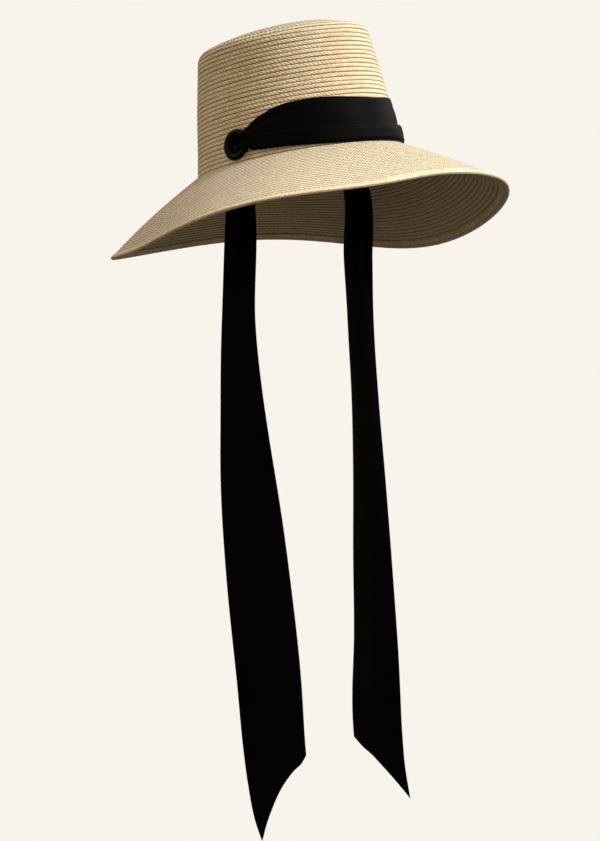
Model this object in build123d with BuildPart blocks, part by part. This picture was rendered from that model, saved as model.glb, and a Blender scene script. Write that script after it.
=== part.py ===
"""Straw sun hat: braid crown and brim, wired brim edge, grosgrain sweatband, two eyelets
and a scarf that wraps the front of the crown and hangs through the eyelets as two long ties.

Millimetres. +Z is up as the hat is worn, -Y is the front and +X is the wearer's left. The origin
is the centre of the head opening. The hat sits tipped back, so its own axis leans towards +Y.
"""

from build123d import *
from math import cos, pi, radians, sin, sqrt, tan
import os

# ---------------------------------------------------------------- driving dimensions

tip_back = 11.0              # lean of the hat's axis towards the back, degrees
head_half_length = 103.0     # outer half length of the head oval, front to back
head_half_width = 85.0       # outer half width of the head oval, side to side
straw_thickness = 2.4
fit_gap = 0.1                # clearance between pieces that lie against each other
cut_reach = 8.0              # how far cutting shapes reach past what they cut

crown_height = 112.0         # height of the shoulder, before it is rounded
crown_taper = 8.0            # lean of the crown wall inwards, degrees
crown_dome = 14.0            # rise of the crown's top above its shoulder
crown_rim_radius = 14.0      # rounding of the shoulder
dome_spread = 2.0            # radius of the round the dome is cut from, as a share of the shoulder's

brim_width = 105.5           # mean width, measured down the slope
brim_width_waves = (-9.5, -13.5, -11.0)       # cosine terms of the width, for 1, 2 and 3 per turn
brim_drop = 31.0             # mean slope below the head oval, degrees
brim_drop_waves = (1.0, -3.5, 4.0, 1.5)       # cosine terms of the slope, alike left and right
brim_drop_bends = (1.0, 2.0, -4.0, -0.5)      # sine terms: the set bent into the wire by hand
brim_root_depth = 1.8        # depth of the brim's inner wall under the crown
curve_points = 48

binding_cover = 8.0          # how far the folded edge braid reaches in over the brim
binding_thickness = 0.9
binding_gap = 0.3            # slack between the folded edge braid and the brim's faces
wire_diameter = 1.5
wire_room = 0.4              # clearance round the wire inside the folded edge
sleeve_wall = 0.3
sleeve_gap = 0.02            # clearance between the wire and the sleeve crimped on it
sleeve_length = 18.0
wire_end_gap = 1.0

sweatband_height = 30.0
sweatband_thickness = 1.0
sweatband_start = 0.5        # height of its lower edge above the head oval
stitch_count = 44
stitch_length = 4.0
stitch_radius = 0.3
stitch_height = 2.6
label_width = 24.0
label_height = 14.0
label_thickness = 0.4
label_lift = 8.0             # lower edge of the label above the sweatband's lower edge

eyelet_lift = 1.5            # clearance between an eyelet's ring and the brim
eyelet_outer_radius = 14.5
eyelet_hole_radius = 8.0
eyelet_barrel_wall = 0.8
eyelet_dome = 3.2
eyelet_rim_radius = 1.4
eyelet_lip = 0.8
eyelet_lip_width = 1.6
washer_radius = 13.0
washer_thickness = 1.0

band_gap = 0.3
band_thickness = 2.4
band_fold_thickness = 2.6
band_height = 43.0           # top of the band at the front, above the head oval
band_end_height = 25.0       # top of the band where it gathers towards the eyelet
band_bottom = 2.0
band_end_bottom = 7.0
band_fold_height = 17.0      # top of the folded lower layer
band_fold_start = 40.0       # how far in front of the eyelets the folded layer starts
band_end_room = 4.5          # distance of the band's ends in front of the eyelet rings
band_arch = 0.9              # height of the band's top halfway to the front, as a share of its rise
fold_rise = 2.0              # height of the folded layer where it starts

gather_gap = 0.8             # clearance between the gathered scarf and the eyelet's hole
gather_cover = 4.0           # thickness of the cloth that passes over the eyelet
tail_room = 1.5              # clearance between the eyelet's inner lip and the hanging tail
tail_thickness = 2.2
tail_half_width = 8.0
tail_below = 16.0            # how far the gathered tail reaches below the origin

tie_thickness = 1.6
tie_gap = 0.4                # clearance between the gathered tail and the tie
tie_hinge_drop = 7.0         # depth of the tie's upper hinge below the origin
tie_neck_radius = 7.5
tie_shoulder_drop = 45.0     # depth at which the tie has spread to its upper width
tie_fold_drop = 250.0        # depth of the bend part-way down a tie
tie_fold_gap = 2.0
tie_top_width = 38.0
tie_end_width = 68.0
tie_drop = 610.0             # lowest point of a tie below the origin
tie_cut_height = 76.0        # height of the slanting cut at the end
tie_point_draw = 0.42        # how far the cut's point is drawn in, as a share of the width
tie_lean = {"right": 37.0, "left": 24.0}      # how far each tie's end hangs forward of its top
tip_side = {"right": 1, "left": -1}           # the cut's point: 1 on the back edge, -1 on the front

os.makedirs("parts", exist_ok=True)

# ---------------------------------------------------------------- planes and shared geometry

hat_plane = Plane(
    origin=(0, 0, 0),
    x_dir=(1, 0, 0),
    z_dir=(0, sin(radians(tip_back)), cos(radians(tip_back))),
)
hat_axis = Axis((0, 0, 0), hat_plane.z_dir)
SIDES = {"left": 1, "right": -1}


def in_hat(x, y, z):
    """A point or direction given in the hat's own axes, in the row frame."""
    return hat_plane.from_local_coords(Vector(x, y, z))


def wall_inset(height):
    """How far the crown's outer wall has leant inwards at a height."""
    return height * tan(radians(crown_taper))


def oval_radii(height, offset):
    """Half width and half length of the crown's oval at a height, grown outwards by an offset."""
    grow = offset - wall_inset(height)
    return head_half_width + grow, head_half_length + grow


def oval_ring(low, high, inner, outer):
    """A band that follows the crown's wall between two heights and two offsets from it."""
    with BuildPart() as ring:
        for offset, mode in ((outer, Mode.ADD), (inner, Mode.SUBTRACT)):
            for height in (low, high):
                with BuildSketch(hat_plane.offset(height)):
                    Ellipse(*oval_radii(height, offset))
            loft(ruled=True, mode=mode)
    return ring.part


wall_across = straw_thickness / cos(radians(crown_taper))
lining_outer = -wall_across - fit_gap
lining_inner = lining_outer - sweatband_thickness
washer_sag = washer_radius**2 * head_half_width / head_half_length**2 / 2 + fit_gap
barrel_outer_radius = eyelet_hole_radius + eyelet_barrel_wall
eyelet_height = eyelet_outer_radius + eyelet_lift      # its centre above the head oval
lip_depth = wall_across + fit_gap + sweatband_thickness + washer_sag + washer_thickness + fit_gap
eyelet_face = oval_radii(eyelet_height, 0)[0]


def eyelet_plane(side):
    """Plane on the crown's wall at an eyelet: its normal points outwards and its y axis up."""
    return Plane(
        origin=in_hat(side * eyelet_face, 0, eyelet_height),
        x_dir=in_hat(0, side, 0),
        z_dir=in_hat(side * cos(radians(crown_taper)), 0, sin(radians(crown_taper))),
    )


# ---------------------------------------------------------------- crown

def crown_form(offset, sink):
    """Solid inside the crown's surface, its wall grown outwards by an offset and its top sunk."""
    dome_top = crown_height + crown_dome
    shoulder_width, shoulder_length = oval_radii(crown_height, offset)
    dome_radius = crown_dome / (1 - sqrt(1 - 1 / dome_spread**2))
    with BuildPart(mode=Mode.PRIVATE) as dome:
        Sphere(1, rotation=(0, 90, 0))
        scale(by=(dome_spread * shoulder_width, dome_spread * shoulder_length, dome_radius))
    dome_place = hat_plane.offset(dome_top - dome_radius - sink).location
    with BuildPart(mode=Mode.PRIVATE) as form:
        for height in (0, dome_top):
            with BuildSketch(hat_plane.offset(height)):
                Ellipse(*oval_radii(height, offset))
        loft(ruled=True)
        add(dome.part.moved(dome_place), mode=Mode.INTERSECT)
        fillet(form.faces().sort_by(hat_axis)[-1].edges(), crown_rim_radius - sink)
    return form.part


with BuildPart() as crown:
    add(crown_form(0, 0))
    add(crown_form(-wall_across, straw_thickness), mode=Mode.SUBTRACT)
    for side in SIDES.values():
        with BuildSketch(eyelet_plane(side)):
            Circle(barrel_outer_radius + fit_gap)
        extrude(amount=cut_reach, both=True, mode=Mode.SUBTRACT)
crown.part.label = "crown"
export_step(crown.part, "parts/crown.step")

# ---------------------------------------------------------------- brim


def waves(mean, cosines, sines, angle):
    """A value round the hat: its mean and the terms of 1, 2, 3... waves per turn."""
    even = sum(size * cos((turn + 1) * angle) for turn, size in enumerate(cosines))
    odd = sum(size * sin((turn + 1) * angle) for turn, size in enumerate(sines))
    return mean + even + odd


def brim_point(angle, beyond_edge, above):
    """A point near the brim's edge: beyond it down the slope, and above its upper face."""
    width = waves(brim_width, brim_width_waves, (), angle) + beyond_edge
    slope = radians(waves(brim_drop, brim_drop_waves, brim_drop_bends, angle))
    out_x = sin(angle) / head_half_width
    out_y = -cos(angle) / head_half_length
    size = sqrt(out_x**2 + out_y**2)
    out = width * cos(slope) + above * sin(slope)
    return in_hat(
        head_half_width * sin(angle) + out * out_x / size,
        -head_half_length * cos(angle) + out * out_y / size,
        above * cos(slope) - width * sin(slope),
    )


def turn_angle(step):
    """The angle of a point round the hat, from the front towards the wearer's left."""
    return 2 * pi * step / curve_points


def edge_curve(beyond_edge, above):
    """Closed curve that keeps its distances from the brim's edge and upper face."""
    points = [brim_point(turn_angle(i), beyond_edge, above) for i in range(curve_points)]
    with BuildLine(mode=Mode.PRIVATE) as line:
        Spline(*points, periodic=True)
    return line.edge()


def root_curve(offset, height):
    """Closed curve on the head oval, offset outwards, at a height above it."""
    points = []
    for i in range(curve_points):
        angle = turn_angle(i)
        points.append(in_hat(
            (head_half_width + offset) * sin(angle),
            -(head_half_length + offset) * cos(angle),
            height,
        ))
    with BuildLine(mode=Mode.PRIVATE) as line:
        Spline(*points, periodic=True)
    return line.edge()


def closed_band(curves):
    """Solid whose section has one corner on each closed curve, joined in order."""
    following = curves[1:] + curves[:1]
    faces = [Face.make_surface_from_curves(a, b) for a, b in zip(curves, following)]
    return Solid(Shell(faces))


with BuildPart() as brim:
    add(closed_band([
        root_curve(-wall_across, 0),
        root_curve(0, 0),
        edge_curve(0, 0),
        edge_curve(0, -straw_thickness),
        root_curve(-wall_across, -brim_root_depth),
    ]))
brim.part.label = "brim"
export_step(brim.part, "parts/brim.step")

# ---------------------------------------------------------------- folded edge braid and its wire

edge_room = wire_diameter + 2 * wire_room
binding_top = binding_gap + binding_thickness
binding_under = -straw_thickness - binding_top

with BuildPart() as binding:
    add(closed_band([
        edge_curve(-binding_cover, binding_top),
        edge_curve(edge_room + binding_thickness, binding_top),
        edge_curve(edge_room + binding_thickness, binding_under),
        edge_curve(-binding_cover, binding_under),
        edge_curve(-binding_cover, -straw_thickness - binding_gap),
        edge_curve(edge_room, -straw_thickness - binding_gap),
        edge_curve(edge_room, binding_gap),
        edge_curve(-binding_cover, binding_gap),
    ]))
binding.part.label = "brim_edge_binding"
export_step(binding.part, "parts/brim_edge_binding.step")


def wire_path(start_angle, end_angle, steps):
    """Open curve down the middle of the folded edge, between two angles."""
    points = []
    for i in range(steps + 1):
        angle = start_angle + (end_angle - start_angle) * i / steps
        points.append(brim_point(angle, edge_room / 2, -straw_thickness / 2))
    with BuildLine(mode=Mode.PRIVATE) as line:
        Spline(*points)
    return line.edge()


sleeve_bore = wire_diameter + 2 * sleeve_gap
back_radius = (brim_point(pi, 0, 0) - brim_point(0, 0, 0)).length / 2
half_gap_angle = wire_end_gap / back_radius / 2
half_sleeve_angle = sleeve_length / back_radius / 2

with BuildPart() as wire:
    wire_run = wire_path(half_gap_angle - pi, pi - half_gap_angle, curve_points)
    with BuildSketch(Plane(origin=wire_run @ 0, z_dir=wire_run % 0)):
        Circle(wire_diameter / 2)
    sweep(path=wire_run)
wire.part.label = "brim_wire"
export_step(wire.part, "parts/brim_wire.step")

with BuildPart() as joiner:
    joiner_run = wire_path(pi - half_sleeve_angle, pi + half_sleeve_angle, 4)
    with BuildSketch(Plane(origin=joiner_run @ 0, z_dir=joiner_run % 0)):
        Circle(sleeve_bore / 2 + sleeve_wall)
        Circle(sleeve_bore / 2, mode=Mode.SUBTRACT)
    sweep(path=joiner_run)
joiner.part.label = "wire_joiner"
export_step(joiner.part, "parts/wire_joiner.step")

# ---------------------------------------------------------------- sweatband, its stitches and label

sweatband_end = sweatband_start + sweatband_height

with BuildPart() as sweatband:
    add(oval_ring(sweatband_start, sweatband_end, lining_inner, lining_outer))
    for side in SIDES.values():
        with BuildSketch(eyelet_plane(side)):
            Circle(barrel_outer_radius + fit_gap)
        extrude(amount=-cut_reach, mode=Mode.SUBTRACT)
sweatband.part.label = "sweatband"
export_step(sweatband.part, "parts/sweatband.step")

stitch_offset = lining_inner - fit_gap - stitch_radius


def stitch_plane(angle):
    """Plane across the sweatband's inner face, its normal running round the oval."""
    half_width, half_length = oval_radii(stitch_height, stitch_offset)
    along = (half_width * cos(angle), half_length * sin(angle))
    start = in_hat(half_width * sin(angle), -half_length * cos(angle), stitch_height)
    return Plane(origin=start, z_dir=in_hat(*along, 0))


with BuildPart() as stitches:
    for step in range(stitch_count):
        with BuildSketch(stitch_plane(2 * pi * (step + 0.5) / stitch_count)):
            Circle(stitch_radius)
        extrude(amount=stitch_length / 2, both=True)
stitches.part.label = "sweatband_stitches"
export_step(stitches.part, "parts/sweatband_stitches.step")

label_low = sweatband_start + label_lift
label_outer = lining_inner - fit_gap

with BuildPart() as label:
    add(oval_ring(label_low, label_low + label_height, label_outer - label_thickness, label_outer))
    with BuildSketch(hat_plane):
        with Locations((0, head_half_length / 2)):
            Rectangle(label_width, head_half_length)
    extrude(amount=crown_height, mode=Mode.INTERSECT)
label.part.label = "size_label"
export_step(label.part, "parts/size_label.step")

# ---------------------------------------------------------------- eyelets and their washers

for name, side in SIDES.items():
    face = eyelet_plane(side)
    eyelet_axis = Axis(face.origin, face.z_dir)
    dome_top = fit_gap + eyelet_dome
    lip_radius = barrel_outer_radius + eyelet_lip_width
    with BuildPart() as eyelet:
        with BuildSketch(Plane(origin=face.origin, x_dir=face.x_dir, z_dir=-face.y_dir)):
            with BuildLine():
                Polyline(
                    (eyelet_hole_radius, dome_top),
                    (eyelet_outer_radius, dome_top),
                    (eyelet_outer_radius, fit_gap),
                    (barrel_outer_radius, fit_gap),
                    (barrel_outer_radius, -lip_depth),
                    (lip_radius, -lip_depth),
                    (lip_radius, -lip_depth - eyelet_lip),
                    (eyelet_hole_radius, -lip_depth - eyelet_lip),
                    close=True,
                )
            profile = make_face()
            fillet(profile.vertices().sort_by(Axis.Y)[-2:], eyelet_rim_radius)
        revolve(axis=eyelet_axis)
    eyelet.part.label = f"eyelet_{name}"
    export_step(eyelet.part, f"parts/eyelet_{name}.step")

    with BuildPart() as washer:
        with BuildSketch(face.offset(fit_gap - lip_depth)):
            Circle(washer_radius)
            Circle(barrel_outer_radius + fit_gap, mode=Mode.SUBTRACT)
        extrude(amount=washer_thickness)
    washer.part.label = f"eyelet_washer_{name}"
    export_step(washer.part, f"parts/eyelet_washer_{name}.step")

# ---------------------------------------------------------------- scarf round the crown

side_plane = Plane(origin=(0, 0, 0), x_dir=in_hat(0, -1, 0), z_dir=(-1, 0, 0))
band_outer = band_gap + band_thickness
fold_outer = band_outer + band_fold_thickness
band_end = eyelet_outer_radius + band_end_room     # distance of the band's ends in front of the eyelets


def side_profile(start, low, low_front, high, high_front):
    """Side view of a band from its end near an eyelet to the front, in distance and height."""
    front = head_half_length + fold_outer + cut_reach
    middle = (start + front) / 2
    arch = high + band_arch * (high_front - high)
    with BuildSketch(side_plane, mode=Mode.PRIVATE) as profile:
        with BuildLine():
            Spline((start, low), (middle, low_front), (front, low_front))
            Line((front, low_front), (front, high_front))
            Spline((front, high_front), (middle, arch), (start, high))
            Line((start, high), (start, low))
        make_face()
    return profile.sketch


with BuildPart() as fold:
    add(oval_ring(0, band_fold_height + cut_reach, band_outer, fold_outer))
    fold_low = (band_end_bottom + band_bottom) / 2
    fold_high = fold_low + fold_rise
    fold_view = side_profile(band_fold_start, fold_low, band_bottom, fold_high, band_fold_height)
    extrude(fold_view, amount=head_half_length, both=True, mode=Mode.INTERSECT)

with BuildPart() as band:
    add(oval_ring(0, band_height + cut_reach, band_gap, band_outer))
    band_view = side_profile(band_end, band_end_bottom, band_bottom, band_end_height, band_height)
    extrude(band_view, amount=head_half_length, both=True, mode=Mode.INTERSECT)
    add(fold.part)
band.part.label = "scarf_band"
export_step(band.part, "parts/scarf_band.step")

# ---------------------------------------------------------------- scarf through the eyelets

gather_radius = eyelet_hole_radius - gather_gap
plug_end = lip_depth + eyelet_lip + tail_thickness     # depth of the gather's inner end
over_low = fit_gap + eyelet_dome + band_gap            # the cloth lies this high over the eyelet
tail_outer = eyelet_face - lip_depth - eyelet_lip - tail_room
tail_inner = tail_outer - tail_thickness

for name, side in SIDES.items():
    face = eyelet_plane(side)
    centre = in_hat(side * eyelet_face, 0, eyelet_height)
    hanging = Plane(origin=(side * tail_inner, centre.Y, 0), x_dir=(0, side, 0), z_dir=(side, 0, 0))
    with BuildPart() as gather:
        with BuildSketch(face.offset(over_low + gather_cover)):
            Circle(gather_radius)
        extrude(amount=-over_low - gather_cover - plug_end)
        with BuildSketch(face.offset(over_low)):
            with Locations((-side * band_end / 2, 0)):
                Rectangle(band_end, 2 * gather_radius)
        extrude(amount=gather_cover)
        with BuildSketch(face.offset(band_gap)):
            reach = band_end - eyelet_outer_radius - band_gap
            with Locations((-side * (band_end - reach / 2), 0)):
                Rectangle(reach, 2 * gather_radius)
        extrude(amount=over_low + gather_cover - band_gap)
        with BuildSketch(hanging):
            with Locations((0, (centre.Z - tail_below) / 2)):
                Rectangle(2 * tail_half_width, centre.Z + tail_below)
        extrude(amount=tail_thickness)
    gather.part.label = f"scarf_gather_{name}"
    export_step(gather.part, f"parts/scarf_gather_{name}.step")

# ---------------------------------------------------------------- the two hanging ties


def tie_edges(name):
    """Back and front edge of a tie as lists of (y, z), from the neck down to the slanting cut."""
    top = in_hat(0, 0, eyelet_height).Y
    depths = (tie_shoulder_drop, tie_fold_drop, (tie_fold_drop + tie_drop) / 2)
    edges = {}
    for edge in (1, -1):
        low = tie_drop if tip_side[name] == edge else tie_drop - tie_cut_height
        points = [(top + edge * tie_neck_radius, -tie_hinge_drop)]
        for depth in (*depths, low):
            share = (depth - tie_shoulder_drop) / (tie_drop - tie_shoulder_drop)
            width = tie_top_width + (tie_end_width - tie_top_width) * share
            middle = top - tie_lean[name] * share**2
            inwards = width * tie_point_draw if tip_side[name] == edge and depth == low else 0
            points.append((middle + edge * (width / 2) - edge * inwards, -depth))
        edges[edge] = points
    return edges[1], edges[-1]


def tie_outline(name):
    """The whole tie laid out flat in the plane of its width, with a round top at the hinge."""
    back, front = tie_edges(name)
    neck = ((front[0][0] + back[0][0]) / 2, front[0][1] + tie_neck_radius)
    with BuildSketch(Plane.YZ, mode=Mode.PRIVATE) as outline:
        with BuildLine():
            Spline(*back)
            Line(back[-1], front[-1])
            Spline(*reversed(front))
            ThreePointArc(front[0], neck, back[0])
        make_face()
    return outline.sketch


for name, side in SIDES.items():
    tie_inner = side * (tail_outer + tie_gap)
    sheet = tie_outline(name)
    for piece, low, high in (
        ("upper", tie_fold_gap / 2 - tie_fold_drop, tie_neck_radius),
        ("lower", -tie_drop - cut_reach, -tie_fold_drop - tie_fold_gap / 2),
    ):
        with BuildPart() as tie:
            extrude(sheet.moved(Location((tie_inner, 0, 0))), amount=tie_thickness, dir=(side, 0, 0))
            with BuildSketch(Plane.YZ):
                with Locations((0, (low + high) / 2)):
                    Rectangle(2 * tie_drop, high - low)
            extrude(amount=2 * head_half_width, both=True, mode=Mode.INTERSECT)
        tie.part.label = f"tie_{name}_{piece}"
        export_step(tie.part, f"parts/tie_{name}_{piece}.step")
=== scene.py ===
"""Looks of the straw sun hat: sewn braid rows, wired edge, eyelets, satin scarf and its two ties.

Sizes are millimetres in the hat's own axes, as in the part: x to the wearer's left, y to the back,
z up the hat's axis. Objects are made in metres in the row frame.
"""

from math import cos, pi, radians, sin, tan

import bmesh
import bpy
import numpy as np
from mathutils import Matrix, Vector


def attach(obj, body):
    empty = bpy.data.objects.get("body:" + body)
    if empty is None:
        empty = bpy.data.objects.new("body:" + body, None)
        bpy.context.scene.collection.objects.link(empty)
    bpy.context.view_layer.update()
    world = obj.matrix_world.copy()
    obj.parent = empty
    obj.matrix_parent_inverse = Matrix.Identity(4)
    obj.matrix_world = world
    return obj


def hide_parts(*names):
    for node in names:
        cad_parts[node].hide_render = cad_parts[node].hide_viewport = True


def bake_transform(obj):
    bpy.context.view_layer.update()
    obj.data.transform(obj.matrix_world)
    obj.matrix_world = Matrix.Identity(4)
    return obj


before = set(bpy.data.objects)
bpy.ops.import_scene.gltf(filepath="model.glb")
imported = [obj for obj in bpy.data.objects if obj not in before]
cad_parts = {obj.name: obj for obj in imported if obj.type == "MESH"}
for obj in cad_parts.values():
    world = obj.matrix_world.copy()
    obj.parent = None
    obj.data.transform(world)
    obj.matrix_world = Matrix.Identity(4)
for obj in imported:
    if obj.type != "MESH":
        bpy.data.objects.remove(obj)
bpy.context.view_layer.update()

MM = 0.001
TAU = 2 * pi

# ------------------------------------------------------------------ sizes

TIP_BACK = 11.0                      # lean of the hat's axis towards the back, degrees
HALF_LENGTH = 103.0                  # head oval, outer
HALF_WIDTH = 85.0
CROWN_HEIGHT = 112.0                 # height of the shoulder, before its rounding
CROWN_TAPER = 8.0                    # degrees
CROWN_DOME = 14.0                    # rise of the top above the shoulder
RIM_RADIUS = 13.0
STRAW = 2.2                          # thickness of the sewn braid
ROW = 4.12                           # width of a sewn row
PLAIT = 3.9                          # length of one plait along a row
ROW_LIFT = 0.44                      # height of a row above its seams
CROWN_SWELL = 0.35                   # how far the crown wanders from a true oval

BRIM_WIDTH = 105.5
WIDTH_WAVES = (-9.5, -13.5, -11.0)
BRIM_DROP = 31.0                     # degrees
DROP_WAVES = (1.0, -3.5, 4.0, 1.5)
DROP_BENDS = (1.0, 2.0, -4.0, -0.5)
BRIM_BELL = 2.0                      # how far the brim bulges above a straight slope
BRIM_RIPPLE = 0.5                    # slow rise and fall of the brim's edge

EYELET_HEIGHT = 16.0
EYELET_RADIUS = 14.5
EYELET_HOLE = 8.0
EYELET_DOME = 3.3
BARREL = 8.8                         # outer radius of the eyelet's barrel
LIP_DEPTH = 5.4                      # depth of the rolled lip inside the crown
HOLE_ROOM = 0.1                      # room round the barrel in the crown and the sweatband
HOLE_REACH = (8.0, -12.0)            # how far a drilled hole reaches out of and into the crown

LINING = 2.55                        # sweatband's outer face, inside the crown's outer wall

BAND_CLOTH = 0.6                     # thickness of the scarf, doubled where it is gathered or hemmed
TAIL_CLOTH = 0.5
TIE_CLOTH = 0.7


# ------------------------------------------------------------------ geometry helpers

def smooth(x, low, high):
    """0 before low, 1 after high, and a smooth step between."""
    t = np.clip((np.asarray(x, float) - low) / (high - low), 0, 1)
    return t * t * (3 - 2 * t)


def curve_through(x, knots):
    """Smooth curve through a few (position, value) knots, with flat ends."""
    places = np.array([k[0] for k in knots], float)
    values = np.array([k[1] for k in knots], float)
    slopes = np.gradient(values, places)
    x = np.clip(np.asarray(x, float), places[0], places[-1])
    i = np.clip(np.searchsorted(places, x) - 1, 0, len(places) - 2)
    span = places[i + 1] - places[i]
    t = (x - places[i]) / span
    start = (1 + 2 * t) * (1 - t) ** 2 * values[i] + t * (1 - t) ** 2 * span * slopes[i]
    end = t * t * (3 - 2 * t) * values[i + 1] + t * t * (t - 1) * span * slopes[i + 1]
    return start + end


def in_row_frame(points):
    """Points in the hat's own axes, turned into the row frame."""
    lean = radians(TIP_BACK)
    x, y, z = points[..., 0], points[..., 1], points[..., 2]
    return np.stack([x, y * cos(lean) + z * sin(lean), z * cos(lean) - y * sin(lean)], -1)


def wall_inset(height):
    return height * tan(radians(CROWN_TAPER))


def oval(angle, half_width, half_length, height):
    """Points on an oval round the hat's axis. Angle 0 is the front, and it grows to the wearer's left."""
    angle, half_width, half_length, height = np.broadcast_arrays(angle, half_width, half_length, height)
    return np.stack([half_width * np.sin(angle), -half_length * np.cos(angle), height], -1)


def add_object(name, points, faces, material, uvs=None):
    """Mesh object from points in the row frame in millimetres, smooth and with outward normals."""
    mesh = bpy.data.meshes.new(name)
    mesh.from_pydata((np.asarray(points).reshape(-1, 3) * MM).tolist(), [], faces)
    if uvs is not None:
        mesh.uv_layers.new(name="rows").data.foreach_set("uv", np.asarray(uvs, np.float32).ravel())
    shape = bmesh.new()
    shape.from_mesh(mesh)
    bmesh.ops.recalc_face_normals(shape, faces=shape.faces)
    for face in shape.faces:
        face.smooth = True
    shape.to_mesh(mesh)
    shape.free()
    mesh.materials.append(material)
    obj = bpy.data.objects.new(name, mesh)
    bpy.context.scene.collection.objects.link(obj)
    return obj


def ring_faces(rings, columns, closed_rings=False):
    """Quads between rings of points, each ring closed on itself."""
    faces = []
    for j in range(rings if closed_rings else rings - 1):
        a, b = j * columns, (j + 1) % rings * columns
        for i in range(columns):
            k = (i + 1) % columns
            faces.append((a + i, a + k, b + k, b + i))
    return faces


def row_uvs(strips, columns):
    """UVs of ring_faces: each strip is (row, low share, high share, plaits round the row)."""
    share = np.arange(columns) / columns
    step = 1 / columns
    blocks = []
    for row, low, high, plaits in strips:
        shift = 7.3 * row
        left, right = share * plaits + shift, (share + step) * plaits + shift
        corners = np.stack([
            np.stack([left, np.full(columns, row + low)], -1),
            np.stack([right, np.full(columns, row + low)], -1),
            np.stack([right, np.full(columns, row + high)], -1),
            np.stack([left, np.full(columns, row + high)], -1),
        ], 1)
        blocks.append(corners.reshape(-1, 2))
    return blocks


def turned_strips(strips):
    """Row strips of a face whose rings run the other way."""
    return [(row, high, low, plaits) for row, low, high, plaits in strips[:-1]][::-1]


def wobble(angle, row):
    """Small hand-sewn wandering of a row, in millimetres."""
    return 0.16 * np.sin(3 * angle + 1.7 * row) + 0.12 * np.sin(7 * angle - 0.9 * row) \
        + 0.08 * np.sin(13 * angle + 2.9 * row)


# ------------------------------------------------------------------ materials

def material(name):
    """A new node material with its Principled shader and helpers to add and link nodes."""
    made = bpy.data.materials.new(name)
    made.use_nodes = True
    tree = made.node_tree
    shader = tree.nodes["Principled BSDF"]
    return made, tree, shader


def node(tree, kind, inputs=(), **settings):
    """Adds a node, sets its properties and its inputs. An input is a value or another node's output."""
    new = tree.nodes.new(kind)
    for key, value in settings.items():
        setattr(new, key, value)
    for place, value in dict(inputs).items():
        if isinstance(value, bpy.types.NodeSocket):
            tree.links.new(value, new.inputs[place])
        else:
            new.inputs[place].default_value = value
    return new


def math_node(tree, operation, *values, clamp=False):
    made = node(tree, "ShaderNodeMath", enumerate(values), operation=operation, use_clamp=clamp)
    return made.outputs[0]


def mix_colour(tree, factor, a, b, blend="MIX"):
    made = node(tree, "ShaderNodeMix", data_type="RGBA", blend_type=blend)
    for place, value in ((0, factor), (6, a), (7, b)):
        if isinstance(value, bpy.types.NodeSocket):
            tree.links.new(value, made.inputs[place])
        else:
            made.inputs[place].default_value = value
    return made.outputs[2]


def ramp(tree, value, low, high, out_low=0.0, out_high=1.0):
    """Smooth step of a value from one range to another."""
    made = node(tree, "ShaderNodeMapRange", {0: value, 1: low, 2: high, 3: out_low, 4: out_high},
                interpolation_type="SMOOTHSTEP")
    return made.outputs[0]


def toned(tree, factor, colour, spread):
    """A colour that varies by a spread below and above itself."""
    low, high = (tuple(min(1, c * (1 + way)) for c in colour) for way in (-spread, spread))
    return mix_colour(tree, factor, (*low, 1), (*high, 1))


def set_plain(shader, roughness, specular=0.5, sheen=0.0, sheen_roughness=0.5):
    shader.inputs["Roughness"].default_value = roughness
    shader.inputs["Specular IOR Level"].default_value = specular
    shader.inputs["Sheen Weight"].default_value = sheen
    shader.inputs["Sheen Roughness"].default_value = sheen_roughness


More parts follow.
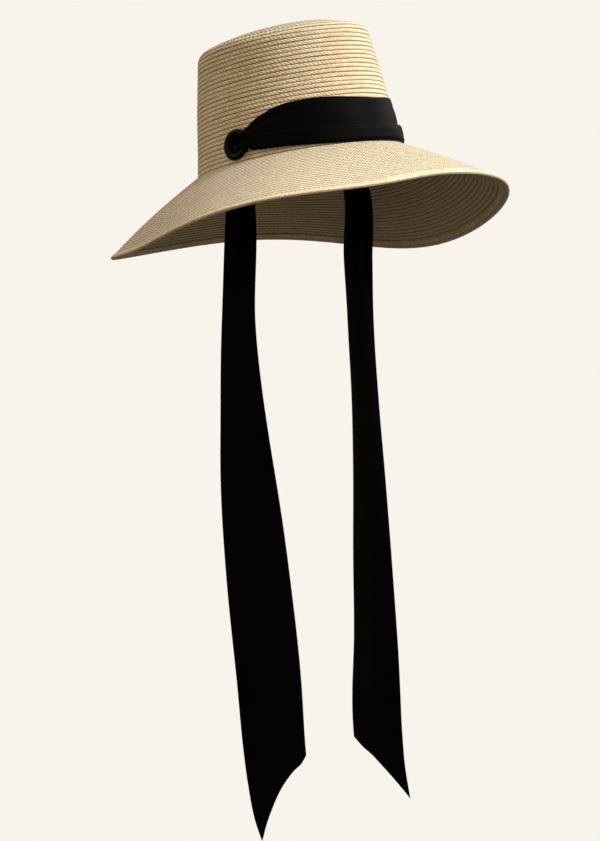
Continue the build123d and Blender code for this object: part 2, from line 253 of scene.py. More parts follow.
def straw_material(name, light, dark, seam_shade):
    """Sewn rows of plaited straw: slanting strands that meet along each row, dark stitched seams with
    painted shade in them and between the strands, and painted light on upward faces.
    """
    made, tree, shader = material(name)
    rows = node(tree, "ShaderNodeUVMap", uv_map="rows").outputs[0]
    parts = node(tree, "ShaderNodeSeparateXYZ", {0: rows})
    along, across = parts.outputs[0], parts.outputs[1]
    share = math_node(tree, "FRACT", across)
    row = math_node(tree, "FLOOR", across)
    off_middle = math_node(tree, "ABSOLUTE", math_node(tree, "SUBTRACT", share, 0.5))
    edge = math_node(tree, "MULTIPLY", off_middle, 2.0)

    warp_at = node(tree, "ShaderNodeCombineXYZ", {0: along, 1: math_node(tree, "MULTIPLY", across, 1.7)})
    warp = node(tree, "ShaderNodeTexNoise", {"Vector": warp_at.outputs[0], "Scale": 0.8, "Detail": 2.0})
    slant = math_node(tree, "MULTIPLY_ADD", share, 1.1, along)
    slant = math_node(tree, "MULTIPLY_ADD", warp.outputs[0], 1.1, slant)
    strand_share = math_node(tree, "FRACT", slant)
    strand = math_node(tree, "SINE", math_node(tree, "MULTIPLY", strand_share, pi))
    strand_round = math_node(tree, "POWER", strand, 0.55)
    which = node(tree, "ShaderNodeCombineXYZ", {0: math_node(tree, "FLOOR", slant), 1: row})
    chance = node(tree, "ShaderNodeTexWhiteNoise", {"Vector": which.outputs[0]}, noise_dimensions="2D")

    fibre_at = node(tree, "ShaderNodeCombineXYZ", {
        0: math_node(tree, "MULTIPLY", slant, 9.0),
        1: math_node(tree, "MULTIPLY", across, 2.5),
    })
    fibre = node(tree, "ShaderNodeTexNoise", {"Vector": fibre_at.outputs[0], "Scale": 1.0, "Detail": 3.0})
    place = node(tree, "ShaderNodeTexCoord").outputs["Object"]
    patch = node(tree, "ShaderNodeTexNoise", {"Vector": place, "Scale": 22.0, "Detail": 2.0})

    tone = math_node(tree, "MULTIPLY", fibre.outputs[0], 0.55)
    tone = math_node(tree, "MULTIPLY_ADD", chance.outputs[0], 0.45, tone)
    patch_shift = math_node(tree, "SUBTRACT", patch.outputs[0], 0.5)
    tone = math_node(tree, "MULTIPLY_ADD", patch_shift, 0.5, tone, clamp=True)
    colour = mix_colour(tree, tone, (*dark, 1), (*light, 1))
    # Painted highlight: faces turned upwards are mixed towards a pale tone, standing in for light falling
    # from above.
    normal = node(tree, "ShaderNodeNewGeometry").outputs["Normal"]
    upward = node(tree, "ShaderNodeSeparateXYZ", {0: normal}).outputs[2]
    painted_top_light = ramp(tree, upward, 0.3, 0.9, 0.0, TOP_LIGHT_SHARE)
    colour = mix_colour(tree, painted_top_light, colour, (*STRAW_PAINTED_TOP_LIGHT, 1))

    # Painted shade: the seams between rows and the dips between strands are darkened towards the seam
    # colour; the seams are partly their own dark stitching and partly painted shade.
    dip = math_node(tree, "SUBTRACT", 1.0, strand_round)
    seam = ramp(tree, edge, 0.67, 0.93)
    depth = math_node(tree, "MULTIPLY_ADD", chance.outputs[0], 0.35, 0.55)
    broken = math_node(tree, "MULTIPLY_ADD", dip, 0.4, depth)
    seam = math_node(tree, "MULTIPLY", seam, broken)
    gap_shade = math_node(tree, "MULTIPLY", math_node(tree, "POWER", dip, 1.5), 0.45)
    shade = math_node(tree, "MAXIMUM", seam, gap_shade)
    shade = math_node(tree, "MULTIPLY", shade, seam_shade, clamp=True)
    colour = mix_colour(tree, shade, colour, (*STRAW_SEAM_AND_SHADE, 1))
    tree.links.new(colour, shader.inputs["Base Color"])

    height = math_node(tree, "MULTIPLY_ADD", chance.outputs[0], 0.3, strand_round)
    height = math_node(tree, "MULTIPLY_ADD", fibre.outputs[0], 0.3, height)
    height = math_node(tree, "MULTIPLY_ADD", seam, -0.5, height)
    bump = node(tree, "ShaderNodeBump", {"Height": height, "Strength": 0.8, "Distance": 0.0007})
    tree.links.new(bump.outputs[0], shader.inputs["Normal"])
    set_plain(shader, 0.6, specular=0.25, sheen=0.16)
    return made


def cloth_material(name, colour, weave_scale, roughness, sheen, specular=0.4, bump_depth=0.00008):
    """Fine crepe or satin: a faint crossed weave with slow variation of its black."""
    made, tree, shader = material(name)
    place = node(tree, "ShaderNodeTexCoord").outputs["Object"]
    warp = node(tree, "ShaderNodeTexNoise", {"Vector": place, "Scale": weave_scale, "Detail": 2.0})
    slow = node(tree, "ShaderNodeTexNoise", {"Vector": place, "Scale": 9.0, "Detail": 3.0})
    low, high = ([c * share for c in colour] for share in (0.75, 1.3))
    tone = mix_colour(tree, slow.outputs[0], (*low, 1), (*high, 1))
    tree.links.new(tone, shader.inputs["Base Color"])
    height = warp.outputs[0]
    bump = node(tree, "ShaderNodeBump", {"Height": height, "Strength": 0.5, "Distance": bump_depth})
    tree.links.new(bump.outputs[0], shader.inputs["Normal"])
    set_plain(shader, roughness, specular=specular, sheen=sheen, sheen_roughness=0.35)
    return made


def ribbed_material(name, colour, ribs):
    """Grosgrain ribbon: fine upright ribs round the band."""
    made, tree, shader = material(name)
    rows = node(tree, "ShaderNodeUVMap", uv_map="rows").outputs[0]
    along = node(tree, "ShaderNodeSeparateXYZ", {0: rows}).outputs[0]
    rib = math_node(tree, "SINE", math_node(tree, "MULTIPLY", along, ribs * TAU))
    grain = node(tree, "ShaderNodeTexNoise", {"Vector": rows, "Scale": 400.0, "Detail": 2.0})
    tone = toned(tree, grain.outputs[0], colour, 0.3)
    tree.links.new(tone, shader.inputs["Base Color"])
    bump = node(tree, "ShaderNodeBump", {"Height": rib, "Strength": 0.6, "Distance": 0.0002})
    tree.links.new(bump.outputs[0], shader.inputs["Normal"])
    set_plain(shader, 0.7, sheen=0.2)
    return made


def speckled_material(name, colour, roughness, metallic=0.0, grain=600.0, depth=0.00004, specular=0.5):
    """Moulded, woven or metal surface with a fine grain and slight variation of tone."""
    made, tree, shader = material(name)
    place = node(tree, "ShaderNodeTexCoord").outputs["Object"]
    fine = node(tree, "ShaderNodeTexNoise", {"Vector": place, "Scale": grain, "Detail": 3.0})
    tone = toned(tree, fine.outputs[0], colour, 0.15)
    tree.links.new(tone, shader.inputs["Base Color"])
    bump = node(tree, "ShaderNodeBump", {"Height": fine.outputs[0], "Strength": 0.3, "Distance": depth})
    tree.links.new(bump.outputs[0], shader.inputs["Normal"])
    set_plain(shader, roughness, specular=specular)
    shader.inputs["Metallic"].default_value = metallic
    return made


STRAW_LIGHT = (0.90, 0.75, 0.505)
STRAW_DARK = (0.60, 0.43, 0.22)
# Seam colour: the dark of the stitched seams, partly painted shade of the recesses between rows and
# strands.
STRAW_SEAM_AND_SHADE = (0.10, 0.048, 0.012)
STRAW_PAINTED_TOP_LIGHT = (0.76, 0.69, 0.53)    # painted light: pale tone that upward-facing straw is mixed towards, standing in for light from above
TOP_LIGHT_SHARE = 0.4
straw = straw_material("straw_braid", STRAW_LIGHT, STRAW_DARK, 1.0)
straw_edge = straw_material("straw_edge_braid", STRAW_LIGHT, STRAW_DARK, 0.5)
scarf_cloth = cloth_material("scarf_satin", (0.0005, 0.0005, 0.0006), 2600.0, 0.6, 0.0, specular=0.035)
grosgrain = ribbed_material("grosgrain", (0.02, 0.02, 0.021), 420)
eyelet_gloss = speckled_material("eyelet_gloss", (0.001, 0.001, 0.001), 0.35, grain=300.0, depth=0.00002,
                                 specular=0.08)
washer_gloss = speckled_material("washer_gloss", (0.012, 0.012, 0.012), 0.4)
wire_steel = speckled_material("wire_steel", (0.55, 0.55, 0.56), 0.35, metallic=1.0, grain=900.0)
thread_cotton = speckled_material("thread_cotton", (0.55, 0.42, 0.25), 0.8, grain=2500.0, depth=0.0001)
label_weave = speckled_material("label_weave", (0.74, 0.71, 0.64), 0.85, grain=1800.0, depth=0.0001)

# ------------------------------------------------------------------ crown

wall_lean = radians(CROWN_TAPER)
shoulder_inset = wall_inset(CROWN_HEIGHT)
dome_width = HALF_WIDTH - shoulder_inset


def section_line():
    """Inset and height of the crown's section from its foot to the middle: wall, shoulder and dome."""
    rim_share = RIM_RADIUS * tan((pi / 2 - wall_lean - radians(20)) / 2)
    foot_of_rim = CROWN_HEIGHT - rim_share * cos(wall_lean)
    heights = np.linspace(0, foot_of_rim, 60)
    wall = np.stack([wall_inset(heights), heights], -1)
    share = np.linspace(rim_share / dome_width, 1 - 1.2 / dome_width, 80)
    rise = CROWN_DOME * (1 - (1 - share) ** 2)
    dome = np.stack([shoulder_inset + dome_width * share, CROWN_HEIGHT + rise], -1)
    corner = np.array([shoulder_inset, CROWN_HEIGHT + 1.2])
    t = np.linspace(0, 1, 26)[1:-1, None]
    rim = (1 - t) ** 2 * wall[-1] + 2 * t * (1 - t) * corner + t * t * dome[0]
    return np.concatenate([wall, rim, dome])


section = section_line()
section_runs = np.concatenate([[0.0], np.cumsum(np.hypot(*np.diff(section, axis=0).T))])
crown_run = float(section_runs[-1])


def meridian(run, inwards=0.0):
    """Inset, height and outward normal of the crown's section, at a run up its wall and over its top."""
    inset, height = (float(np.interp(run, section_runs, section[:, i])) for i in (0, 1))
    before, after = max(run - 1.5, 0.0), min(run + 1.5, crown_run)
    step = [np.interp(after, section_runs, section[:, i]) - np.interp(before, section_runs, section[:, i])
            for i in (0, 1)]
    normal = float(np.arctan2(step[0], step[1]))
    return inset + inwards * cos(normal), height - inwards * sin(normal), normal


ROWS_UP = round(crown_run / ROW)
crown_row = crown_run / ROWS_UP
CROWN_COLUMNS = 320
OUTER_SHAPE = ((0.0, 0.0), (0.12, 1.0), (0.5, 0.92), (0.86, 0.55))     # share of a row, lift
INNER_SHAPE = ((0.0, 0.0), (0.3, 0.8), (0.7, 0.8))


def crown_surface(shape, inwards, outward):
    """Rings of one face of the crown from its foot to the middle of its top, and their row strips."""
    angle = np.arange(CROWN_COLUMNS) / CROWN_COLUMNS * TAU
    rings, strips = [], []
    for row in range(ROWS_UP):
        for index, (share, lift) in enumerate(shape):
            run = (row + share) * crown_row
            inset, height, normal = meridian(run, inwards - outward * ROW_LIFT * (lift - 0.6))
            fade = smooth(row, 0, 2) * (1 - smooth(row, 26, 32))
            drift = wobble(angle, row - (share > 0.9)) * fade
            swell = CROWN_SWELL * np.sin(2 * angle + 0.06 * run) * smooth(run, 5, 40)
            inset = inset + swell * cos(normal)
            height = height + drift * cos(normal)
            rings.append(oval(angle, HALF_WIDTH - inset, HALF_LENGTH - inset, height))
            following = shape[index + 1][0] if index + 1 < len(shape) else 1.0
            around = TAU * (HALF_WIDTH + HALF_LENGTH - 2 * float(np.mean(inset))) / 2
            strips.append((row, share, following, max(8, round(around / PLAIT))))
    return rings, strips


outer_rings, outer_strips = crown_surface(OUTER_SHAPE, 0.0, 1)
inner_rings, inner_strips = crown_surface(INNER_SHAPE, STRAW, -1)
crown_rings = outer_rings[::-1] + inner_rings
seam_strip = [(0, 0.0, 0.0, outer_strips[0][3])]
crown_strips = turned_strips(outer_strips) + seam_strip + inner_strips[:-1]
crown_faces = ring_faces(len(crown_rings), CROWN_COLUMNS)
crown_uvs = row_uvs(crown_strips, CROWN_COLUMNS)


def cap_faces(start, columns):
    """Quads that close a long narrow ring of points across its middle."""
    half = columns // 2
    faces = [(start, start + 1, start + columns - 1)]
    for i in range(1, half - 1):
        faces.append((start + i, start + i + 1, start + columns - i - 1, start + columns - i))
    faces.append((start + half - 1, start + half, start + half + 1))
    return faces


for start in (0, (len(crown_rings) - 1) * CROWN_COLUMNS):
    for face in cap_faces(start, CROWN_COLUMNS):
        crown_faces.append(face)
        crown_uvs.append(np.array([((v - start) * 0.15, ROWS_UP - 0.5) for v in face]))

crown_uvs = np.concatenate(crown_uvs)
crown = add_object("crown_braid", in_row_frame(np.array(crown_rings)), crown_faces, straw, crown_uvs)


# ------------------------------------------------------------------ eyelet holes

def eyelet_axes(side):
    """Centre of an eyelet on the crown's wall and its forward, upward and outward directions, hat axes."""
    centre = np.array([side * (HALF_WIDTH - wall_inset(EYELET_HEIGHT)), 0.0, EYELET_HEIGHT])
    outward = np.array([side * cos(wall_lean), 0.0, sin(wall_lean)])
    upward = np.array([-side * sin(wall_lean), 0.0, cos(wall_lean)])
    return centre, np.array([0.0, -1.0, 0.0]), upward, outward


def at_eyelet(side, forward, up, out):
    """Row-frame points from distances in an eyelet's own directions."""
    centre, ahead, upward, outward = eyelet_axes(side)
    forward, up, out = np.broadcast_arrays(np.asarray(forward, float), up, out)
    points = centre + forward[..., None] * ahead + up[..., None] * upward + out[..., None] * outward
    return in_row_frame(points)


def lathe(name, side, profile, mat, columns=96):
    """Solid of revolution about an eyelet's axis, from (radius, distance out) points."""
    turn = np.arange(columns) / columns * TAU
    rings = [at_eyelet(side, r * np.cos(turn), r * np.sin(turn), out) for r, out in profile]
    return add_object(name, np.array(rings), ring_faces(len(rings), columns, True), mat)


def drill(piece, radius):
    """Cuts both eyelet holes through a piece."""
    for side in (1, -1):
        turn = np.arange(48) / 48 * TAU
        ends = [at_eyelet(side, radius * np.cos(turn), radius * np.sin(turn), out) for out in HOLE_REACH]
        faces = ring_faces(2, 48) + [tuple(range(48)), tuple(range(48, 96))]
        cutter = add_object("cutter", np.array(ends), faces, None)
        cut = piece.modifiers.new("hole", "BOOLEAN")
        cut.object, cut.operation, cut.solver = cutter, "DIFFERENCE", "MANIFOLD"
        bpy.context.view_layer.objects.active = piece
        bpy.ops.object.modifier_apply(modifier=cut.name)
        bpy.data.objects.remove(cutter)


drill(crown, BARREL + HOLE_ROOM)

# ------------------------------------------------------------------ brim

BRIM_COLUMNS = 400
BRIM_ROWS = 26


def waves(mean, cosines, sines, angle):
    value = mean + sum(size * np.cos((turn + 1) * angle) for turn, size in enumerate(cosines))
    return value + sum(size * np.sin((turn + 1) * angle) for turn, size in enumerate(sines))


def brim_points(angle, run, above):
    """Points at a run down the brim's slope from the head oval, and above its upper face."""
    slope = np.radians(waves(BRIM_DROP, DROP_WAVES, DROP_BENDS, angle))
    out_x, out_y = np.sin(angle) / HALF_WIDTH, -np.cos(angle) / HALF_LENGTH
    size = np.hypot(out_x, out_y)
    out = run * np.cos(slope) + above * np.sin(slope)
    return np.stack([
        HALF_WIDTH * np.sin(angle) + out * out_x / size,
        -HALF_LENGTH * np.cos(angle) + out * out_y / size,
        above * np.cos(slope) - run * np.sin(slope),
    ], -1)


def brim_surface(shape, outward, level):
    """Rings of one face of the brim, from the head oval to the edge, and their row strips."""
    angle = np.arange(BRIM_COLUMNS) / BRIM_COLUMNS * TAU
    width = waves(BRIM_WIDTH, WIDTH_WAVES, (), angle)
    rings, strips = [], []
    for row in range(BRIM_ROWS):
        for index, (share, lift) in enumerate(shape):
            place = (row + share) / BRIM_ROWS
            run = width * place + wobble(angle, row + 50) * smooth(row, 0, 2)
            ripple = BRIM_RIPPLE * np.sin(5 * angle + 2.0 * place) * smooth(place, 0.2, 1.0)
            bell = BRIM_BELL * sin(pi * place) * (1 - 0.5 * np.cos(angle))
            above = level + outward * ROW_LIFT * (lift - 0.6) + ripple + bell
            rings.append(brim_points(angle, run, above))
            following = shape[index + 1][0] if index + 1 < len(shape) else 1.0
            around = TAU * (HALF_WIDTH + HALF_LENGTH + 2 * float(np.mean(run)) * 0.86) / 2
            strips.append((row, share, following, round(around / PLAIT)))
    return rings, strips


TOP_SHAPE = ((0.0, 0.0), (0.14, 0.55), (0.5, 0.92), (0.88, 1.0))
UNDER_SHAPE = ((0.0, 0.0), (0.12, 1.0), (0.5, 0.92), (0.86, 0.55))
top_rings, top_strips = brim_surface(TOP_SHAPE, 1, 0.0)
under_rings, under_strips = brim_surface(UNDER_SHAPE, -1, -STRAW)
brim_rings = top_rings + under_rings[::-1]
edge_strip = [(BRIM_ROWS, 0.0, 0.0, top_strips[-1][3])]
brim_strips = top_strips[:-1] + edge_strip + turned_strips(under_strips)
brim_strips += [(0, 0.0, 0.0, top_strips[0][3])]
brim_faces = ring_faces(len(brim_rings), BRIM_COLUMNS, True)
brim_uvs = np.concatenate(row_uvs(brim_strips, BRIM_COLUMNS))
brim = add_object("brim_braid", in_row_frame(np.array(brim_rings)), brim_faces, straw, brim_uvs)

# ------------------------------------------------------------------ folded edge braid

EDGE_SECTION = (                       # beyond the brim's edge, above its upper face
    (-2.6, 0.15), (-2.5, 0.55), (-1.9, 0.70), (-1.0, 0.72), (-0.3, 0.55), (0.5, 0.80), (1.6, 0.72),
    (2.7, 0.25), (3.2, -0.5), (3.35, -1.2), (3.2, -1.9), (2.7, -2.6), (1.6, -3.0), (0.0, -3.10),
    (-1.2, -2.85), (-2.4, -3.1), (-4.0, -3.2), (-6.2, -3.15), (-7.4, -2.95), (-7.6, -2.55), (-7.2, -2.35),
    (2.2, -2.3), (2.5, -1.2), (2.2, -0.1), (-2.4, 0.05),
)
EDGE_ROWS = ((0, 4), (4, 9), (9, 14), (14, 20), (20, 25))      # first and last corner of each row


def edge_binding():
    angle = np.arange(BRIM_COLUMNS) / BRIM_COLUMNS * TAU
    width = waves(BRIM_WIDTH, WIDTH_WAVES, (), angle)
    ripple = BRIM_RIPPLE * np.sin(5 * angle + 2.0)
    rings = []
    for beyond, above in EDGE_SECTION:
        rings.append(brim_points(angle, width + beyond + 0.15 * np.sin(9 * angle), above + ripple))
    count = len(EDGE_SECTION)
    around = round(TAU * 192 / PLAIT)
    strips = []
    for row, (first, last) in enumerate(EDGE_ROWS):
        step = 1 / (last - first)
        strips += [(row, (j - first) * step, (j - first + 1) * step, around) for j in range(first, last)]
    faces = ring_faces(count, BRIM_COLUMNS, True)
    uvs = np.concatenate(row_uvs(strips, BRIM_COLUMNS))
    return add_object("brim_edge_braid", in_row_frame(np.array(rings)), faces, straw_edge, uvs)


binding = edge_binding()

# ------------------------------------------------------------------ sweatband

def sweatband_ring():
    """Grosgrain band inside the crown, its top edge loose by a hair, its lower edge sewn down."""
    columns = 256
    angle = np.arange(columns) / columns * TAU
    section = [(0.6, 0.0), (0.6, 1.0), (2.0, 1.1), (2.6, 0.85), (3.4, 1.1), (12.0, 1.15), (22.0, 1.1),
               (29.0, 1.15), (30.4, 1.2), (30.6, 0.6), (30.4, 0.05), (15.0, 0.0)]
    rings, strips = [], []
    for j, (height, inwards) in enumerate(section):
        inset = LINING + wall_inset(height) + inwards
        rings.append(oval(angle, HALF_WIDTH - inset, HALF_LENGTH - inset, height))
        strips.append((j, 0.0, 1.0, 1))
    uvs = np.concatenate(row_uvs(strips, columns))
    uvs[:, 0] = np.tile(np.stack([np.arange(columns), np.arange(columns) + 1, np.arange(columns) + 1,
                                  np.arange(columns)], -1).ravel() / columns, len(section))
    faces = ring_faces(len(rings), columns, True)
    return add_object("sweatband_ribbon", in_row_frame(np.array(rings)), faces, grosgrain, uvs)


sweatband = sweatband_ring()
drill(sweatband, BARREL + HOLE_ROOM)

# ------------------------------------------------------------------ eyelets

def arc_points(centre, radius, start, end, count):
    turns = np.linspace(radians(start), radians(end), count)
    return [(centre[0] + radius[0] * cos(t), centre[1] + radius[1] * sin(t)) for t in turns]


ring_middle = (EYELET_RADIUS + EYELET_HOLE) / 2
ring_half = (EYELET_RADIUS - EYELET_HOLE) / 2
EYELET_PROFILE = (
    arc_points((ring_middle, 0.9), (ring_half, EYELET_DOME - 0.9), 0, 180, 15)
    + [(EYELET_HOLE, -LIP_DEPTH - 0.2)]
    + arc_points((EYELET_HOLE + 1.2, -LIP_DEPTH - 0.2), (1.2, 0.6), 180, 360, 9)
    + [(BARREL, -LIP_DEPTH), (BARREL, 0.12), (EYELET_RADIUS - 0.5, 0.12)]
)
eyelets = {name: lathe(f"eyelet_ring_{name}", side, EYELET_PROFILE, eyelet_gloss)
           for name, side in (("left", 1), ("right", -1))}

# ------------------------------------------------------------------ scarf round the crown

TOP_KNOTS = ((0, 40.5), (18, 42), (34, 44), (48, 44.5), (60, 43.5), (70, 39.5), (78, 34), (84, 27.5),
             (87, 25))
LOW_KNOTS = ((0, 0.6), (18, 0.7), (32, 1.1), (46, 2.6), (58, 4.4), (68, 5.6), (82, 8.0), (87, 8.8))
FOLD_KNOTS = ((0, 15.0), (14, 15.3), (30, 16.5), (42, 17.6), (60, 19.0), (75, 18.5), (87, 17.5))
BAND_STEPS = 150
BAND_END = 79.5                        # degrees round from the front where the band leaves the wall
SECTION_STEPS = 64


def band_section(low, fold, top, proud, steps):
    """Heights and distances off the crown of the folded cloth.

    It runs from the hem tucked into the fold, down the fold's face, under its lower edge and up
    behind to the band's upper edge.
    """
    knots = (
        (fold - 5.0, 1.9), (fold - 1.5, 2.0), (fold + 0.2, 2.4 + 0.3 * proud),
        (fold - 0.2, 2.9 + 0.5 * proud), (fold - 3.5, 3.0 + 0.8 * proud),
        (low + 6.5, 2.9 + 0.6 * proud), (low + 1.6, 2.5 + 0.3 * proud),
        (low, 1.8), (low + 1.0, 1.0), (low + 6.0, 0.9), (fold - 4.0, 1.0), (fold + 2.0, 1.3),
        (fold + 0.35 * (top - fold), 1.7), (fold + 0.7 * (top - fold), 1.6), (top - 1.4, 1.5), (top, 1.1),
        (top - 0.8, 0.7),
    )
    runs = [max(1.2, float(np.hypot(b[0] - a[0], b[1] - a[1]))) for a, b in zip(knots, knots[1:])]
    lengths = np.cumsum([0.0] + runs)
    at = np.linspace(0, lengths[-1], steps)
    heights = curve_through(at, list(zip(lengths, [k[0] for k in knots])))
    offsets = curve_through(at, list(zip(lengths, [k[1] for k in knots])))
    return heights, offsets


def scarf_sheet():
    """Outer surface of the scarf's band round the crown, up to each eyelet's front."""
    share = np.linspace(0, 1, SECTION_STEPS)
    lines = []
    reach = np.linspace(-1, 1, BAND_STEPS)
    for t in reach:
        degrees = BAND_END * t
        away = abs(degrees)
        low, fold, top = (float(curve_through(away, k)) for k in (LOW_KNOTS, FOLD_KNOTS, TOP_KNOTS))
        proud = float(1 - smooth(away, 48, 74))
        heights, offsets = band_section(low, fold, top, proud, SECTION_STEPS)
        gather = float(smooth(away, 45, 80))
        pleats = np.sin(TAU * 3.2 * share + 0.8) * 0.9
        pleats = pleats + np.sin(TAU * 5.5 * share + 2.1 + 0.03 * degrees) * 0.4
        slack = 0.35 * np.sin(0.11 * degrees + 5 * share) + 0.25 * np.sin(0.23 * degrees - 8 * share)
        offsets = offsets + gather * pleats * np.sin(pi * share) + slack * np.sin(pi * share)
        offsets = np.maximum(offsets, 0.7)
        inset = wall_inset(heights) - offsets
        angle = radians(degrees)
        points = oval(angle, HALF_WIDTH - inset, HALF_LENGTH - inset, heights)
        lines.append(in_row_frame(points))
    return lines, share


def into_eyelet(side, share):
    """The scarf's path from the band's end over the eyelet's front rim and down its hole."""
    path = (                           # forward, up, out, half height, pleat depth
        (15.0, 0.9, 4.0, 11.2, 1.0), (12.4, 0.6, 4.6, 10.4, 1.1), (10.0, 0.3, 5.0, 9.3, 1.2),
        (7.6, 0.0, 4.7, 8.0, 1.3), (5.6, 0.0, 3.4, 7.0, 1.2), (4.4, 0.0, 1.2, 6.4, 1.1),
        (3.8, 0.0, -1.4, 6.2, 1.1), (3.4, 0.0, -4.0, 6.2, 1.1), (3.0, 0.0, -7.4, 6.2, 1.1),
    )
    steps = np.linspace(0, 1, len(path))
    fine = np.linspace(0, 1, 26)
    forward, up, out, half, deep = (curve_through(fine, list(zip(steps, line))) for line in zip(*path))
    lines = []
    heading = np.gradient(np.stack([forward, out], -1), axis=0)
    heading /= np.linalg.norm(heading, axis=1)[:, None]
    for i in range(len(fine)):
        pleats = np.sin(TAU * 3.2 * share + 0.8) * deep[i] + np.sin(TAU * 5.5 * share + 2.6) * 0.4
        pleats = pleats * np.sin(pi * share) ** 0.5
        across_forward, across_out = heading[i][1], -heading[i][0]
        rise = up[i] + half[i] * np.sin(pi * (share - 0.5))
        curl = -1.6 * np.abs(np.sin(pi * (share - 0.5))) ** 3
        lines.append(at_eyelet(side, forward[i] + across_forward * (pleats + curl), rise,
                               out[i] + across_out * (pleats + curl)))
    return lines


def closed_sheet(name, lines, thickness, mat):
    """Closes a grid of points into a thin solid sheet."""
    grid = np.array(lines)
    rows, columns = grid.shape[:2]
    faces = []
    for j in range(rows - 1):
        for i in range(columns - 1):
            a = j * columns + i
            faces.append((a, a + 1, a + columns + 1, a + columns))
    piece = add_object(name, grid, faces, mat)
    solid = piece.modifiers.new("thickness", "SOLIDIFY")
    solid.thickness, solid.offset = thickness * MM, -1.0
    bpy.context.view_layer.objects.active = piece
    bpy.ops.object.modifier_apply(modifier=solid.name)
    return piece


band_lines, section_share = scarf_sheet()
right_end = into_eyelet(-1, section_share)
left_end = into_eyelet(1, section_share)
scarf = closed_sheet("scarf_round_crown", right_end[::-1] + band_lines + left_end, BAND_CLOTH, scarf_cloth)

# ------------------------------------------------------------------ tails inside the crown

def tail(name, side):
    """Gathered end of the scarf that comes out of the eyelet and turns down behind the sweatband."""
    lines = []
    for down in np.linspace(0, 1, 30):
        share = np.linspace(-1, 1, 33)
        drop = 8.0 - 31 * down
        half = 9.6 - 1.0 * down
        ripples = np.cos(pi * 3.5 * share) * (0.6 - 0.3 * down)
        over = -7.2 - 2.2 * float(smooth(down, 0.0, 0.35)) + ripples
        lines.append(at_eyelet(side, half * share, drop, over))
    return closed_sheet(name, lines, TAIL_CLOTH, scarf_cloth)


tails = {name: tail(f"scarf_tail_{name}", side) for name, side in (("left", 1), ("right", -1))}

# ------------------------------------------------------------------ hanging ties

TIE_TOP = 1.0
TIES = {                               # knots are (depth below the origin, value)
    "right": {
        "x": ((0, -76.3), (620, -76.3)),
        "middle": ((0, 3.0), (60, 4.0), (140, 7.0), (250, 0.0), (370, -14.5), (470, -28.0), (540, -35.5),
                   (570, -40.5), (608, -51.0), (621, -57.5)),
        "width": ((0, 17), (24, 33), (45, 38), (145, 41), (218, 46), (300, 54), (440, 61.5), (620, 68)),
        "turn": ((0, 0), (145, 4), (220, 12), (325, 23), (400, 23), (520, 14), (620, 10)),
        "cut": ((0.0, 621.0), (0.10, 612.0), (0.3, 594.0), (0.55, 571.0), (0.8, 552.0), (0.93, 544.0),
                (1.0, 537.0)),
        "tip": 1,
    },
    "left": {
        "x": ((0, 76.3), (90, 79.0), (610, 80.0)),
        "middle": ((0, 3.0), (28, -6.5), (90, -6.0), (150, -8.3), (225, -13.3), (300, -18.0), (375, -21.8),
                   (451, -26.2), (545, -29.5), (570, -32.5), (602, -39.5)),
        "width": ((0, 17), (24, 33), (45, 37), (145, 42), (218, 46), (300, 54), (440, 61.5), (610, 68)),
        "turn": ((0, 0), (82, -4), (150, -12), (300, -18), (375, -15), (455, -11), (510, -6), (610, -5)),
        "cut": ((0.0, 601.0), (0.12, 593.0), (0.3, 582.0), (0.62, 567.0), (0.85, 560.0), (1.0, 553.0)),
        "tip": -1,
    },
}
TIE_ROWS, TIE_COLUMNS = 260, 28


def tie(name, shape):
    """A hanging tie: gathered at its neck and widening to a slanting cut."""
    across = np.linspace(-1, 1, TIE_COLUMNS)
    from_tip = (1 - shape["tip"] * across) / 2
    bottom = curve_through(from_tip, shape["cut"])
    lines = []
    for step in np.linspace(0, 1, TIE_ROWS):
        depth = -TIE_TOP + (bottom + TIE_TOP) * step
        middle = curve_through(depth, shape["middle"])
        half = curve_through(depth, shape["width"]) / 2
        turn = np.radians(curve_through(depth, shape["turn"]))
        x = curve_through(depth, shape["x"])
        gathered = (0.35 + 0.65 * smooth(depth, 8, 26)) * (1 - smooth(depth, 20, 130))
        pleat = 1.3 * np.cos(pi * 3.0 * across + 0.4) * gathered
        sway = 2.2 * np.sin(depth / 95 + 0.5) * across * smooth(depth, 8, 40)
        sway = sway + 1.6 * np.cos(pi * across * 0.9 + depth / 160) * smooth(depth, 60, 200)
        y = middle + half * across * np.cos(turn)
        x = x - half * across * np.sin(turn) + pleat + sway * 0.8
        lines.append(np.stack([x, y, -depth], -1))
    return closed_sheet(f"tie_{name}", lines, TIE_CLOTH, scarf_cloth)


ties = {name: tie(name, TIES[name]) for name in ("left", "right")}

# ------------------------------------------------------------------ riding on the bodies

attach(crown, "hat")
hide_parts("crown")
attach(brim, "hat")
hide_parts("brim")
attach(binding, "hat")
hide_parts("brim_edge_binding")
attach(sweatband, "hat")
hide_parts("sweatband")
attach(scarf, "hat")
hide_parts("scarf_band")
for name in ("left", "right"):
    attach(eyelets[name], "hat")
    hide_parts(f"eyelet_{name}")
    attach(tails[name], "hat")
    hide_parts(f"scarf_gather_{name}")
    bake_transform(ties[name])
    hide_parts(f"tie_{name}_upper", f"tie_{name}_lower")

CAD_FINISHES = {
    "brim_wire": wire_steel, "wire_joiner": wire_steel, "sweatband_stitches": thread_cotton,
    "size_label": label_weave, "eyelet_washer_left": washer_gloss, "eyelet_washer_right": washer_gloss,
}
for name, finish in CAD_FINISHES.items():
    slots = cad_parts[name].data.materials
    slots.clear()
    slots.append(finish)

# ------------------------------------------------------------------ floor, light and camera

BACKDROP = (0.938, 0.905, 0.838)
FLOOR_RADIUS = 9.0
FLOOR_HEIGHT = -2.6                  # far enough below the hanging hat to look up into it


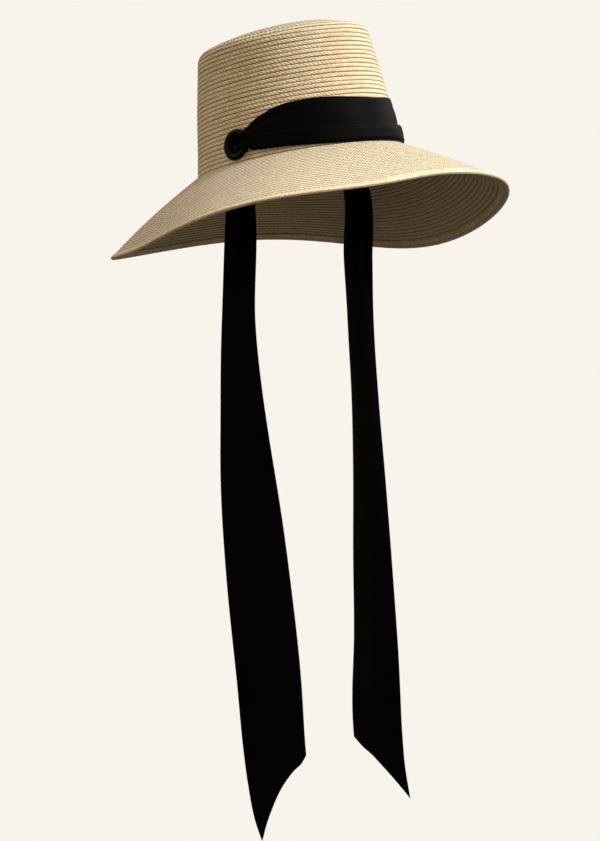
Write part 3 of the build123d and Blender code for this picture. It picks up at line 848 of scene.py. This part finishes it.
def backdrop():
    """Pale floor that glows evenly, so that it reads as one plain tone with the sky behind it."""
    made, tree, shader = material("backdrop")
    glow = node(tree, "ShaderNodeEmission", {"Color": (*BACKDROP, 1), "Strength": 1.0})
    tree.links.new(glow.outputs[0], tree.nodes["Material Output"].inputs["Surface"])
    centre = (0, 0, FLOOR_HEIGHT)
    bpy.ops.mesh.primitive_circle_add(vertices=64, radius=FLOOR_RADIUS, fill_type="NGON", location=centre)
    floor = bpy.context.object
    floor.name = "floor"
    floor.data.materials.append(made)
    floor.visible_diffuse = floor.visible_glossy = floor.visible_shadow = False


backdrop()

world = bpy.data.worlds.new("studio")
bpy.context.scene.world = world
world.use_nodes = True
sky = world.node_tree
direction = node(sky, "ShaderNodeTexCoord").outputs["Generated"]
rise = node(sky, "ShaderNodeSeparateXYZ", {0: direction}).outputs[2]
strength = ramp(sky, rise, -0.4, 0.5, 0.11, 0.79)
seen = node(sky, "ShaderNodeLightPath").outputs["Is Camera Ray"]
fill_light = node(sky, "ShaderNodeBackground", {"Color": (1.0, 0.87, 0.72, 1), "Strength": strength})
plain = node(sky, "ShaderNodeBackground", {"Color": (*BACKDROP, 1), "Strength": 1.0})
both = node(sky, "ShaderNodeMixShader", {0: seen, 1: fill_light.outputs[0], 2: plain.outputs[0]})
sky.links.new(both.outputs[0], sky.nodes["World Output"].inputs["Surface"])

VIEW_AZIMUTH, VIEW_ELEVATION = radians(-49.0), radians(5.16)
VIEW_DISTANCE = 2.5
VIEW_CENTRE = Vector((-0.0158, -0.0146, -0.2379))
back = Vector((
    sin(VIEW_AZIMUTH) * cos(VIEW_ELEVATION), -cos(VIEW_AZIMUTH) * cos(VIEW_ELEVATION), sin(VIEW_ELEVATION),
))
right = Vector((cos(VIEW_AZIMUTH), sin(VIEW_AZIMUTH), 0))

camera = bpy.data.objects.new("camera", bpy.data.cameras.new("camera"))
bpy.context.scene.collection.objects.link(camera)
camera.data.sensor_fit = "VERTICAL"
camera.data.sensor_height = 24.0
camera.data.lens = 77.0
camera.location = VIEW_CENTRE + back * VIEW_DISTANCE
camera.rotation_euler = back.to_track_quat("Z", "Y").to_euler()
bpy.context.scene.camera = camera


def area_light(name, place, size, power, colour):
    """Soft square light that faces the crown."""
    lamp = bpy.data.objects.new(name, bpy.data.lights.new(name, "AREA"))
    lamp.data.size, lamp.data.energy, lamp.data.color = size, power, colour
    lamp.location = place
    lamp.rotation_euler = (Vector(place) - Vector((0, 0, 0.02))).to_track_quat("Z", "Y").to_euler()
    bpy.context.scene.collection.objects.link(lamp)


LIGHT_SIZE = 0.7
area_light("key", right * 1.6 + back * 0.72 + Vector((0, 0, 1.35)), LIGHT_SIZE, 64.0, (0.91, 0.965, 1.0))
area_light("rim", right * 1.2 - back * 1.0 + Vector((0, 0, 0.8)), LIGHT_SIZE, 8.0, (1, 1, 1))
bpy.context.scene.view_settings.view_transform = "Standard"
